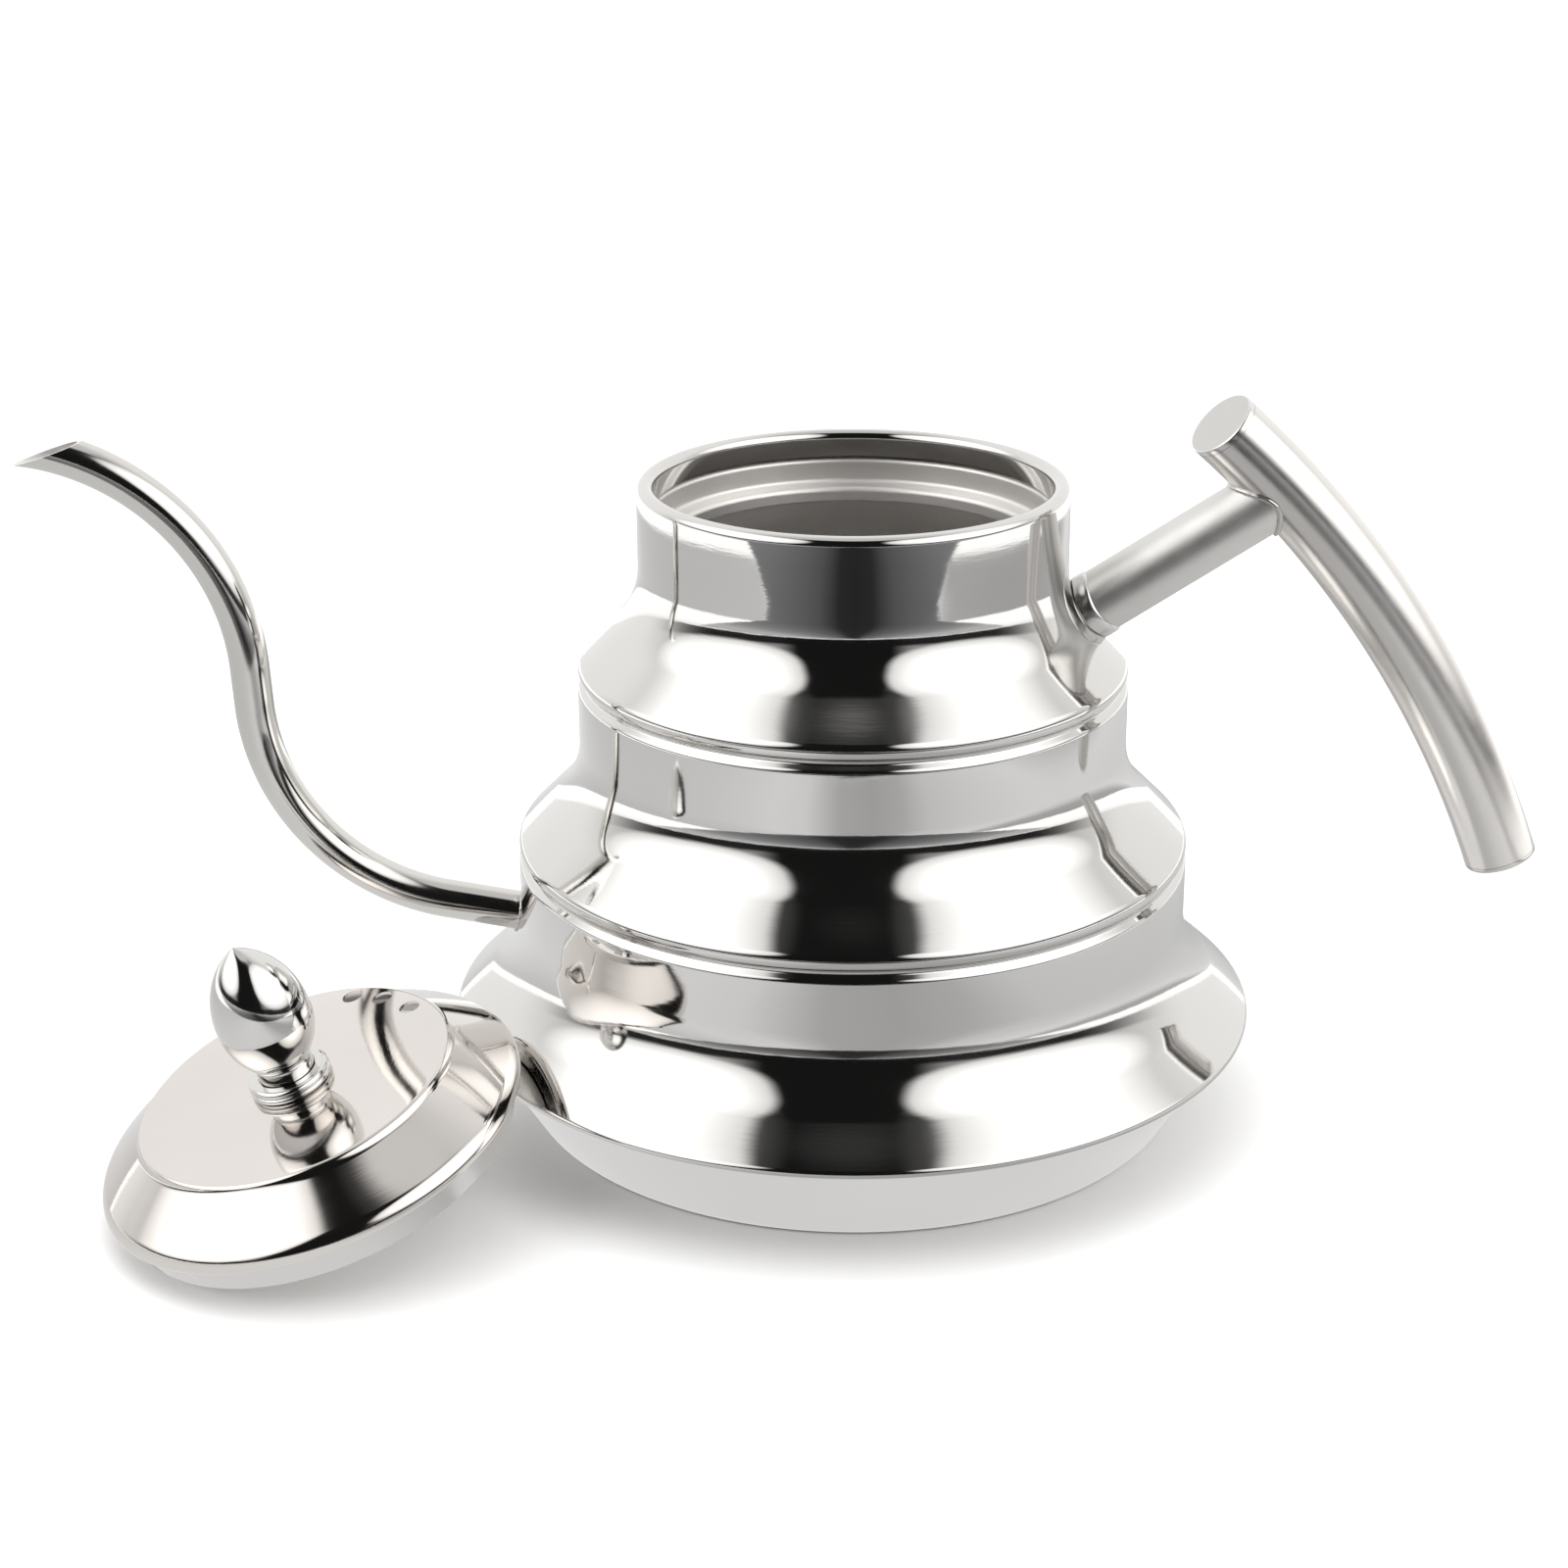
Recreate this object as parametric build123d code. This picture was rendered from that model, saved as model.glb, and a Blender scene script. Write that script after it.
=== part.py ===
from build123d import *
import math
import os

# Stovetop gooseneck kettle, three-tier spun stainless body, millimetres, +Z up.
# Origin: on the body's axis, in the plane that the base stands on.
# The spout leaves toward -X, the handle toward +X.

os.makedirs("parts", exist_ok=True)

# ---------------------------------------------------------------- dimensions
SHEET = 0.7             # body sheet
PAN_SHEET = 0.8         # base pan sheet
LID_SHEET = 0.6         # lid sheet

MOUTH_R = 37.0          # inner radius of the mouth
NECK_R = 40.4           # first tier's neck, outside
LIP_R = (NECK_R - MOUTH_R) / 2      # rolled lip, outside radius
LIP_Z = 122.4           # height of the lip's centre
HEM_Z = 119.0           # lower end of the lip's inner leg

TIER_CURVE = 17.0       # concave flare under each neck
TIER_SLOPE = 45.0
BULGE_CURVE = 2.2       # convex roll at the foot of a tier
TIER1_FLARE_Z = 108.4
TIER1_R = 52.2          # widest point of tier 1, and neck 2
TIER2_FLARE_Z = 74.3
TIER2_R = 64.4          # widest point of tier 2, and neck 3
TIER3_FLARE_Z = 40.7
TIER3_CURVE = 19.0
TIER3_SLOPE = 48.0
SEAM_R = 77.5           # widest point of the kettle, at the rolled seam
SEAM_CURVE = 1.2

SPOUT_OD = 7.6
SPOUT_ID = 6.4
SPOUT_START = (63.2, 36.46)          # distance from the axis, height
SPOUT_HEADING = 9.85
SPOUT_L1 = 16.2
SPOUT_R1 = 43.0
SPOUT_TOP_HEADING = 87.1
SPOUT_L2 = 7.6
SPOUT_R2 = 45.8
SPOUT_END_HEADING = 8.0
SPOUT_L3 = 12.0
TIP_LOW = (157.2, 126.5)             # the two ends of the slanted cut
TIP_HIGH = (144.9, 130.7)

GRIP_OD = 13.7
GRIP_WALL = 0.9
GRIP_C = (-70.84, -21.67)            # centre of the grip's arc
GRIP_R = 208.78
GRIP_TOP_DEG = 48.52
GRIP_BOTTOM_DEG = 19.74
GRIP_TOP_NORMAL = (-0.683, -0.215, 0.697)
CAP_THICK = 1.2

ARM_OD = 12.2
ARM_WALL = 1.0
ARM_A = (45.9, 100.2)                # a point on the arm's axis near the body
ARM_B = (73.8, 118.3)                # and one near the grip
SADDLE_R = 6.5
SADDLE_LEN = 3.2

# Lid, in its own frame: height above the skirt's lower edge.
LID_TOP_H = 16.9
LID_DISC_R = 29.4
LID_DISC_H = 16.3
LID_RIM_R = 39.8
LID_RIM_H = 5.4
SKIRT_R = 36.5
DIMPLE_R = 1.9
DIMPLE_H = 3.0
DIMPLE_RISE = 0.3
STEAM_R = 1.95
STEAM_AT = 26.0
KNOB_TIP_H = 46.5
KNOB_R = 8.65
KNOB_NECK_R = 5.2
KNOB_COLLAR_R = 7.5

# Where the lid lies: it leans on the seam, with its far edge on the surface.
LID_AZ = 209.3          # direction from the kettle's axis to the lid's centre
LID_DIST = 110.3
LID_TILT = 17.8         # outward lean of the lid's axis
LID_FLOOR_GAP = 0.05


# ---------------------------------------------------------------- 2-D tracks
class Track:
    """A chain of tangent lines and arcs in a plane, as (a, b) points."""

    def __init__(self, p, heading):
        self.p = tuple(map(float, p))
        self.h = math.radians(heading)
        self.segs = []

    def _n(self, h):
        return (-math.sin(h), math.cos(h))

    def line(self, length):
        h = self.h
        q = (self.p[0] + length * math.cos(h), self.p[1] + length * math.sin(h))
        self.segs.append(("L", [self.p, q], [self._n(h), self._n(h)], length))
        self.p = q
        return self

    def arc(self, radius, turn):
        """turn in degrees, positive to the left."""
        s = 1.0 if turn > 0 else -1.0
        t = math.radians(turn)
        h0 = self.h
        n0 = self._n(h0)
        c = (self.p[0] + s * radius * n0[0], self.p[1] + s * radius * n0[1])
        pts, nrm = [], []
        for f in (0.0, 0.5, 1.0):
            h = h0 + t * f
            n = self._n(h)
            pts.append((c[0] - s * radius * n[0], c[1] - s * radius * n[1]))
            nrm.append(n)
        self.segs.append(("A", pts, nrm, radius * abs(t)))
        self.p = pts[2]
        self.h = h0 + t
        return self

    def shifted(self, d):
        out = []
        for kind, pts, nrm, _ in self.segs:
            out.append((kind, [(p[0] + d * n[0], p[1] + d * n[1]) for p, n in zip(pts, nrm)]))
        return out

    def length(self):
        return sum(s[3] for s in self.segs)


def v3(p):
    return Vector(p[0], 0, p[1])


def edges_of(segs):
    out = []
    for kind, pts in segs:
        if kind == "L":
            out.append(Edge.make_line(v3(pts[0]), v3(pts[1])))
        else:
            out.append(Edge.make_three_point_arc(v3(pts[0]), v3(pts[1]), v3(pts[2])))
    return out


def closed_face(edges):
    return Face(Wire(edges))


def turned(edges):
    """Solid of revolution from a closed outline."""
    face = closed_face(edges)
    out = revolve(face, Axis.Z, 360)
    if out.volume < 0:
        out = revolve(-face, Axis.Z, 360)
    return out


def sheet_of(track, thickness):
    """Ring of sheet metal: the track is one skin, the other lies to its left
    (positive thickness) or right (negative)."""
    a = track.shifted(0)
    b = track.shifted(thickness)
    edges = edges_of(a) + edges_of(b)
    edges.append(Edge.make_line(v3(a[0][1][0]), v3(b[0][1][0])))
    edges.append(Edge.make_line(v3(a[-1][1][-1]), v3(b[-1][1][-1])))
    return turned(edges)


def ring_of(points):
    """Turned solid from a closed polygon of (radius, height) points; an item
    of three pairs is an arc from the last point through the second to the third."""
    edges = []
    last = points[0]
    for item in points[1:]:
        if isinstance(item[0], tuple):
            mid, end = item
            edges.append(Edge.make_three_point_arc(v3(last), v3(mid), v3(end)))
            last = end
        else:
            edges.append(Edge.make_line(v3(last), v3(item)))
            last = item
    if math.dist(last, points[0]) > 1e-6:
        edges.append(Edge.make_line(v3(last), v3(points[0])))
    return turned(edges)


def rod(p, q, radius):
    p, q = Vector(*p), Vector(*q)
    d = q - p
    plane = Plane(origin=p, z_dir=d)
    return plane * Cylinder(radius, d.length, align=(Align.CENTER, Align.CENTER, Align.MIN))


# ---------------------------------------------------------------- body shell
body = Track((MOUTH_R, HEM_Z), 90)
body.line(LIP_Z - HEM_Z)
body.arc(LIP_R, -180)                       # over the lip, now heading down
body.line(LIP_Z - TIER1_FLARE_Z)


def flare_to(track, r_max, curve, slope, roll, inward, next_r):
    track.arc(curve, slope)                 # turns outward
    gain = (r_max - roll * (1 - math.cos(math.radians(slope)))) - track.p[0]
    track.line(gain / math.sin(math.radians(slope)))
    track.arc(roll, -(slope + inward))      # rolls over and turns back in
    if next_r is not None:
        track.arc(0.6, inward + 45)         # the crease
        need = next_r - 1.2 * (1 - math.cos(math.radians(45))) - track.p[0]
        if need > 0:
            track.line(need / math.sin(math.radians(45)))
        track.arc(1.2, -45)


flare_to(body, TIER1_R - 0.1, TIER_CURVE, TIER_SLOPE, BULGE_CURVE, 50, TIER1_R)
crease_1 = len(body.segs)
body.line(body.p[1] - TIER2_FLARE_Z)
flare_to(body, TIER2_R - 0.1, TIER_CURVE, TIER_SLOPE, BULGE_CURVE, 50, TIER2_R)
crease_2 = len(body.segs)
body.line(body.p[1] - TIER3_FLARE_Z)
body.arc(TIER3_CURVE, TIER3_SLOPE)
gain = (SEAM_R - SEAM_CURVE * (1 - math.cos(math.radians(TIER3_SLOPE)))) - body.p[0]
body.line(gain / math.sin(math.radians(TIER3_SLOPE)))
body.arc(SEAM_CURVE, -(TIER3_SLOPE + 90))   # the seam's outer roll
SEAM_LOW = body.p[1]
body.line(1.0)                              # lower leg of the seam, heading in


def tier(lo, hi):
    """One tier of the spun body, from crease to crease."""
    t = Track((0, 0), 0)
    t.segs = body.segs[lo:hi]
    return sheet_of(t, -SHEET)


body_tier_upper = tier(0, crease_1)
body_tier_middle = tier(crease_1, crease_2)
body_tier_lower = tier(crease_2, len(body.segs))
SEAM_TOP_OF_LEG = SEAM_LOW + SHEET
print("seam low", round(SEAM_LOW, 3))

# ---------------------------------------------------------------- lid seat ring
seat = Track((MOUTH_R + 1.35, LIP_Z + 0.2), -90)
seat.line(3.3)
seat.arc(0.8, -60)
seat.line(0.1)
seat.arc(0.8, 60)
# the wall now stands flush with the lip's inner leg
seat_shift = seat.p[0] - (MOUTH_R + 0.05)
seat = Track((MOUTH_R + 1.35, LIP_Z + 0.2), -90)
seat.line(3.3)
seat.arc(0.8, -60)
seat.line(0.1 + seat_shift / math.sin(math.radians(60)))
seat.arc(0.8, 60)
seat.line(seat.p[1] - 114.6)
seat.arc(0.9, -80)
seat.line(1.3)
seat.arc(1.1, 80)
seat.line(1.6)
lid_seat_ring = sheet_of(seat, 0.55)

# ---------------------------------------------------------------- base pan
pan_flange_z = SEAM_TOP_OF_LEG + 0.06
foot_roll = 4.5
wall_h = 238.0                                        # heading: down and inward
pan = Track((SEAM_R - 1.75, pan_flange_z), 180)
pan.line(0.30)
pan.arc(0.9, wall_h - 180)                            # turns down
h = math.radians(wall_h)
# length of the wall so that the foot's roll ends level at z = 0
drop_roll = foot_roll * (1 - math.cos(math.radians(wall_h - 180)))
wall_len = (pan.p[1] - drop_roll) / abs(math.sin(h))
pan.line(wall_len)
pan.arc(foot_roll, -(wall_h - 180))                   # now heading inward, level
foot_end = pan.p
print("foot roll ends at r", round(foot_end[0], 2), "z", round(foot_end[1], 3))
pan.line(pan.p[0])                                    # to the axis
a = pan.shifted(0)
b = pan.shifted(-PAN_SHEET)
# the inner skin ends on the axis too
b[-1][1][1] = (0.0, b[-1][1][1][1])
edges = edges_of(a) + edges_of(b)
edges.append(Edge.make_line(v3(a[0][1][0]), v3(b[0][1][0])))
edges.append(Edge.make_line(v3(a[-1][1][-1]), v3(b[-1][1][-1])))
base_pan = turned(edges)

# ---------------------------------------------------------------- spout
sp = Track((SPOUT_START[0], SPOUT_START[1]), SPOUT_HEADING)
sp.line(SPOUT_L1)
sp.arc(SPOUT_R1, SPOUT_TOP_HEADING - SPOUT_HEADING)
sp.line(SPOUT_L2)
sp.arc(SPOUT_R2, SPOUT_END_HEADING - SPOUT_TOP_HEADING)
sp.line(SPOUT_L3)


def mirror_edges(segs):
    out = []
    for kind, pts in segs:
        q = [Vector(-p[0], 0, p[1]) for p in pts]
        out.append(Edge.make_line(q[0], q[1]) if kind == "L" else Edge.make_three_point_arc(*q))
    return out


sp_wire = Wire(mirror_edges(sp.shifted(0)))
hd = math.radians(SPOUT_HEADING)
sp_plane = Plane(origin=(-SPOUT_START[0], 0, SPOUT_START[1]), z_dir=(-math.cos(hd), 0, math.sin(hd)))
outer = sweep(sp_plane * Circle(SPOUT_OD / 2), path=sp_wire)
inner = sweep(sp_plane * Circle(SPOUT_ID / 2), path=sp_wire)
spout_tube = outer - inner
area = math.pi * (SPOUT_OD ** 2 - SPOUT_ID ** 2) / 4
print("spout tube volume", round(spout_tube.volume, 1), "section x length", round(area * sp.length(), 1))

# slanted cut at the tip
cd = (TIP_HIGH[0] - TIP_LOW[0], TIP_HIGH[1] - TIP_LOW[1])
cl = math.hypot(*cd)
cut_dir = Vector(-cd[0] / cl, 0, cd[1] / cl)
cut_n = Vector(0, 1, 0).cross(cut_dir)
if cut_n.Z < 0:
    cut_n = cut_n * -1
cut_plane = Plane(origin=(-TIP_LOW[0], 0, TIP_LOW[1]), x_dir=(0, 1, 0), z_dir=cut_n)
cutter = cut_plane * Box(60, 80, 30, align=(Align.CENTER, Align.CENTER, Align.MIN))
# everything beyond the low end of the cut goes too
spout_tube = spout_tube - cutter
end_cut = Box(30, 40, 60, align=(Align.MAX, Align.CENTER, Align.CENTER)).moved(Location((-TIP_LOW[0] - 0.0, 0, 126)))
spout_tube = spout_tube - end_cut
# inner end trimmed flush with the inside of the wall
body_void = Cylinder(TIER2_R - SHEET - 0.05, 60).moved(Location((0, 0, 40)))
spout_tube = spout_tube - body_void

# hole in the body for the tube
hole = rod((-(SPOUT_START[0] - 8 * math.cos(hd)), 0, SPOUT_START[1] - 8 * math.sin(hd)),
           (-(SPOUT_START[0] + 8 * math.cos(hd)), 0, SPOUT_START[1] + 8 * math.sin(hd)), SPOUT_OD / 2 + 0.03)
body_tier_lower = body_tier_lower - hole

# thin weld bead round the tube, lying on the body
bead_blank = rod((-(SPOUT_START[0] + 0.4), 0, SPOUT_START[1] + 0.07),
                 (-(SPOUT_START[0] + 0.4 + 1.9 * math.cos(hd)), 0, SPOUT_START[1] + 0.07 + 1.9 * math.sin(hd)), SPOUT_OD / 2 + 0.45)
bead_bore = rod((-(SPOUT_START[0] - 8 * math.cos(hd)), 0, SPOUT_START[1] - 8 * math.sin(hd)),
                (-(SPOUT_START[0] + 9 * math.cos(hd)), 0, SPOUT_START[1] + 9 * math.sin(hd)), SPOUT_OD / 2 + 0.02)

# outer envelope of the body, filled, for trimming what is welded to it
fill = Track((MOUTH_R, HEM_Z), 90)
fill.segs = body.segs
top_z = LIP_Z + LIP_R
f_edges = edges_of(body.shifted(-0.0)[2:])   # from the neck down
f_start = body.shifted(0)[2][1][0]
f_end = body.shifted(0)[-1][1][-1]
f_edges.append(Edge.make_line(Vector(0, 0, f_start[1]), v3(f_start)))
f_edges.append(Edge.make_line(v3(f_end), Vector(0, 0, f_end[1])))
f_edges.append(Edge.make_line(Vector(0, 0, f_end[1]), Vector(0, 0, f_start[1])))
body_solid = turned(f_edges)
spout_weld = bead_blank - bead_bore - body_solid

# ---------------------------------------------------------------- grip
def on_grip(deg, radius=GRIP_R):
    t = math.radians(deg)
    return (GRIP_C[0] + radius * math.cos(t), GRIP_C[1] + radius * math.sin(t))


g0, g1 = GRIP_TOP_DEG + 3.0, GRIP_BOTTOM_DEG
pa, pm, pb = on_grip(g0), on_grip((g0 + g1) / 2), on_grip(g1)
grip_path = Wire([Edge.make_three_point_arc(v3(pa), v3(pm), v3(pb))])
t0 = math.radians(g0)
g_plane = Plane(origin=v3(pa), z_dir=(math.sin(t0), 0, -math.cos(t0)))
grip_outer = sweep(g_plane * Circle(GRIP_OD / 2), path=grip_path)
grip_inner = sweep(g_plane * Circle(GRIP_OD / 2 - GRIP_WALL), path=grip_path)

top_c = Vector(on_grip(GRIP_TOP_DEG)[0], 0, on_grip(GRIP_TOP_DEG)[1])
top_n = Vector(*GRIP_TOP_NORMAL).normalized()
bot_c = Vector(on_grip(GRIP_BOTTOM_DEG)[0], 0, on_grip(GRIP_BOTTOM_DEG)[1])
tb = math.radians(GRIP_BOTTOM_DEG)
bot_n = Vector(math.sin(tb), 0, -math.cos(tb))


def slab(c, n, lo, hi, size=60):
    """Block between two planes across n, at distances lo and hi along it from c."""
    pl = Plane(origin=c + n * lo, z_dir=n)
    return pl * Box(size, size, hi - lo, align=(Align.CENTER, Align.CENTER, Align.MIN))


handle_grip = grip_outer - grip_inner
handle_grip = handle_grip - slab(top_c, top_n, -CAP_THICK, 30)
handle_grip = handle_grip - slab(bot_c, bot_n, -CAP_THICK, 5)
grip_cap_top = grip_outer & slab(top_c, top_n, -CAP_THICK + 0.01, 0)
grip_cap_bottom = grip_outer & slab(bot_c, bot_n, -CAP_THICK + 0.01, 0)


def fillet_end(part, c, n, r):
    es = [e for e in part.edges() if abs((e.center() - c).dot(n)) < 0.15 and e.geom_type != GeomType.LINE]
    try:
        return fillet(es, r)
    except Exception as err:
        print("fillet skipped", err)
        return part


grip_cap_top = fillet_end(grip_cap_top, top_c, top_n, 0.5)
grip_cap_bottom = fillet_end(grip_cap_bottom, bot_c, bot_n, 0.7)

# ---------------------------------------------------------------- arm
ad = Vector(ARM_B[0] - ARM_A[0], 0, ARM_B[1] - ARM_A[1]).normalized()
A0 = Vector(ARM_A[0], 0, ARM_A[1])


def arm_rod(lo, hi, radius):
    p, q = A0 + ad * lo, A0 + ad * hi
    return rod(tuple(p), tuple(q), radius)


# where the arm's axis meets the body and the grip
arm_blank = arm_rod(-12, 45, ARM_OD / 2)
arm_bore = arm_rod(-14, 47, ARM_OD / 2 - ARM_WALL)
saddle_cut = SADDLE_LEN
arm_solid = arm_blank - body_solid
beyond_grip = grip_outer
arm_out = arm_solid - beyond_grip
# keep the piece between body and grip
arm_out = max(arm_out.solids(), key=lambda s: s.volume)
# drop what may lie beyond the grip
arm_tube = arm_out - arm_bore
arm_tube = max(arm_tube.solids(), key=lambda s: s.volume)
# the saddle: the last few millimetres at the body, a little wider
shift = ad * SADDLE_LEN
body_moved = body_solid.moved(Location(shift))
arm_main = arm_tube - body_moved
handle_arm = max(arm_main.solids(), key=lambda s: s.volume)
saddle_blank = arm_rod(-12, 14, SADDLE_R) - arm_rod(-14, 16, ARM_OD / 2 - ARM_WALL) - body_solid
saddle_near = saddle_blank & body_solid.moved(Location(ad * (SADDLE_LEN - 0.02)))
handle_saddle = max(saddle_near.solids(), key=lambda s: s.volume)

# weld bead where the arm meets the grip: a thin band round the arm's end
grip_fat = sweep(g_plane * Circle(GRIP_OD / 2 + 1.1), path=grip_path)
bead = (arm_rod(10, 45, ARM_OD / 2 + 0.55) - arm_rod(8, 47, ARM_OD / 2 + 0.01)) & grip_fat
bead = bead - grip_outer
near = [s for s in bead.solids() if (s.center() - A0).dot(ad) < 40]
arm_grip_weld = max(near, key=lambda s: s.volume)

# ---------------------------------------------------------------- lid (own frame)
lid = Track((0.0, LID_TOP_H), -0.3)
lid.line(14.0)
lid.arc(420.0, -1.9)
lid.line(max(0.1, LID_DISC_R - 0.8 - lid.p[0]))
lid.arc(1.0, -45.0)                          # crest round the disc
lid.arc(2.5, 30.0)                           # shallow valley
# shoulder: a straight run and a large roll that together end at the rim
sh, end_h, rim_roll = math.degrees(lid.h), -80.0, 1.2
need_r = LID_RIM_R - rim_roll * (1 - math.cos(math.radians(90 + end_h))) - lid.p[0]
need_h = lid.p[1] - (LID_RIM_H + rim_roll) - rim_roll * math.sin(math.radians(90 + end_h))
a0, a1 = math.radians(-sh), math.radians(-end_h)
m11, m12 = math.cos(a0), math.sin(a1) - math.sin(a0)
m21, m22 = math.sin(a0), math.cos(a0) - math.cos(a1)
det = m11 * m22 - m12 * m21
run = (need_r * m22 - need_h * m12) / det
roll = (need_h * m11 - need_r * m21) / det
print("lid shoulder run", round(run, 2), "roll", round(roll, 2))
lid.line(run)
lid.arc(roll, end_h - sh)
lid.arc(rim_roll, -(180 + end_h))            # under the rim, heading inward
print("rim under side at", [round(v, 2) for v in lid.p], "heading", round(math.degrees(lid.h), 1))
rim_under = lid.p[1]
lid.line(lid.p[0] - (SKIRT_R + 0.35))
a = lid.shifted(0)
b = lid.shifted(-LID_SHEET)
b[0][1][0] = (0.0, b[0][1][0][1])
edges = edges_of(a) + edges_of(b)
edges.append(Edge.make_line(v3(a[0][1][0]), v3(b[0][1][0])))
edges.append(Edge.make_line(v3(a[-1][1][-1]), v3(b[-1][1][-1])))
lid_cover = turned(edges)
LID_RIM_UNDER = rim_under

# steam holes: three, near the edge of the disc
STEAM_DEG = (38.4, 56.6, 72.0)      # direction from the lid's centre, world sense
lid_holes = []
for d in STEAM_DEG:
    t = math.radians(d)
    lid_holes.append(Cylinder(STEAM_R, 8).moved(Location((STEAM_AT * math.cos(t), STEAM_AT * math.sin(t), LID_DISC_H))))
for hcyl in lid_holes:
    lid_cover = lid_cover - hcyl
# hole for the knob's screw
lid_cover = lid_cover - Cylinder(2.15, 10).moved(Location((0, 0, LID_TOP_H)))

# skirt: plain ring with its upper edge turned out inside the rim
sk = Track((SKIRT_R, 0.0), 90)
sk.line(LID_RIM_UNDER + LID_SHEET + 0.06 - 0.5)
sk.arc(0.5, -90)
sk.line(1.2)
lid_skirt = sheet_of(sk, LID_SHEET)
for d in (240.0, 120.0, 1.5):
    t = math.radians(d)
    boss = rod(((SKIRT_R - 0.35) * math.cos(t), (SKIRT_R - 0.35) * math.sin(t), DIMPLE_H),
               ((SKIRT_R + DIMPLE_RISE) * math.cos(t), (SKIRT_R + DIMPLE_RISE) * math.sin(t), DIMPLE_H), DIMPLE_R)
    tip = [e for e in boss.edges() if e.geom_type == GeomType.CIRCLE
           and math.hypot(e.arc_center.X, e.arc_center.Y) > SKIRT_R]
    boss = chamfer(tip, 0.22, 0.9)
    lid_skirt = lid_skirt + boss

# knob: pointed acorn on a short neck, with a double collar below it
disc_top = LID_TOP_H + 0.02
COLLAR_TOP = 19.5
knob_collar = ring_of([
    (2.2, disc_top), (6.6, disc_top), ((7.35, disc_top + 0.25), (7.6, disc_top + 0.75)),
    ((7.4, disc_top + 1.15), (7.0, disc_top + 1.3)),
    ((7.35, disc_top + 1.5), (7.45, disc_top + 1.85)),
    ((7.2, COLLAR_TOP - 0.25), (6.5, COLLAR_TOP)), (KNOB_NECK_R + 0.25, COLLAR_TOP),
    (KNOB_NECK_R + 0.25, COLLAR_TOP - 0.8), (2.2, COLLAR_TOP - 0.8)])
kb = COLLAR_TOP - 0.78
knob = ring_of([
    (0.0, KNOB_TIP_H), ((6.0, 40.9), (KNOB_R, 30.6)), ((7.75, 26.2), (KNOB_NECK_R + 0.35, 22.6)),
    ((KNOB_NECK_R, 22.2), (KNOB_NECK_R, 21.7)), (KNOB_NECK_R, kb), (1.75, kb), (1.75, 33.0), (0.0, 33.9)])
knob_screw = ring_of([
    (0.0, 32.5), (1.7, 31.8), (1.7, 14.75), (3.3, 14.75), ((3.1, 13.2), (1.8, 12.7)), (0.0, 12.6)])
slot = Box(8, 0.8, 1.2).moved(Location((0, 0, 12.7))) + Box(0.8, 8, 1.2).moved(Location((0, 0, 12.7)))
knob_screw = knob_screw - (slot & Cylinder(1.9, 4).moved(Location((0, 0, 12.7))))
disc_under = LID_TOP_H - LID_SHEET - 0.09
knob_washer = ring_of([(2.0, disc_under - 0.06), (5.0, disc_under - 0.1), (5.0, disc_under - 0.9), (2.0, disc_under - 0.9)])
knob_screw = knob_screw.moved(Location((0, 0, 0.0)))

# two spot-weld nuggets inside the skirt, on the line the lid turns about
NUGGET_R = 1.5
NUGGET_H = DIMPLE_H
wz = math.radians(LID_AZ + 90)
nugget = None
for s in (1, -1):
    r0 = SKIRT_R - LID_SHEET - 0.10
    p = (s * (r0) * math.cos(wz), s * (r0) * math.sin(wz), NUGGET_H)
    q = (s * (r0 - 0.45) * math.cos(wz), s * (r0 - 0.45) * math.sin(wz), NUGGET_H)
    n1 = rod(p, q, NUGGET_R)
    nugget = n1 if nugget is None else nugget + n1
skirt_weld_spots = nugget

# ---------------------------------------------------------------- lid placed
w = Vector(math.cos(wz), math.sin(wz), 0)
u = Vector(math.cos(math.radians(LID_AZ)), math.sin(math.radians(LID_AZ)), 0)
low = SKIRT_R * math.sin(math.radians(LID_TILT)) + LID_FLOOR_GAP
lid_origin = u * LID_DIST + Vector(0, 0, low)


def place(shape):
    # rotate about w through the lid's origin so that its axis leans toward u
    s = shape.rotate(Axis((0, 0, 0), tuple(w)), LID_TILT)
    return s.moved(Location(lid_origin))


lean = Vector(0, 0, 1).rotate(Axis((0, 0, 0), tuple(w)), LID_TILT)
print("lid axis", lean, "should lean toward", u)

nodes = {
    "body_tier_upper": body_tier_upper,
    "body_tier_middle": body_tier_middle,
    "body_tier_lower": body_tier_lower,
    "lid_seat_ring": lid_seat_ring,
    "base_pan": base_pan,
    "spout_tube": spout_tube,
    "spout_weld": spout_weld,
    "handle_arm": handle_arm,
    "handle_saddle": handle_saddle,
    "arm_grip_weld": arm_grip_weld,
    "handle_grip": handle_grip,
    "grip_cap_top": grip_cap_top,
    "grip_cap_bottom": grip_cap_bottom,
    "lid_cover": place(lid_cover),
    "lid_skirt": place(lid_skirt),
    "knob": place(knob),
    "knob_collar": place(knob_collar),
    "knob_screw": place(knob_screw),
    "knob_washer": place(knob_washer),
    "skirt_weld_spots": place(skirt_weld_spots),
}

for name, shape in nodes.items():
    solids = shape.solids()
    out = solids[0] if len(solids) == 1 else Compound(children=list(solids))
    bb = out.bounding_box()
    print(name, len(solids), round(out.volume, 2),
          [round(v, 2) for v in (bb.min.X, bb.min.Y, bb.min.Z, bb.max.X, bb.max.Y, bb.max.Z)])
    export_step(out, "parts/%s.step" % name)
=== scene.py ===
import math

import bmesh
import bpy
from mathutils import Matrix, Vector


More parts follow.
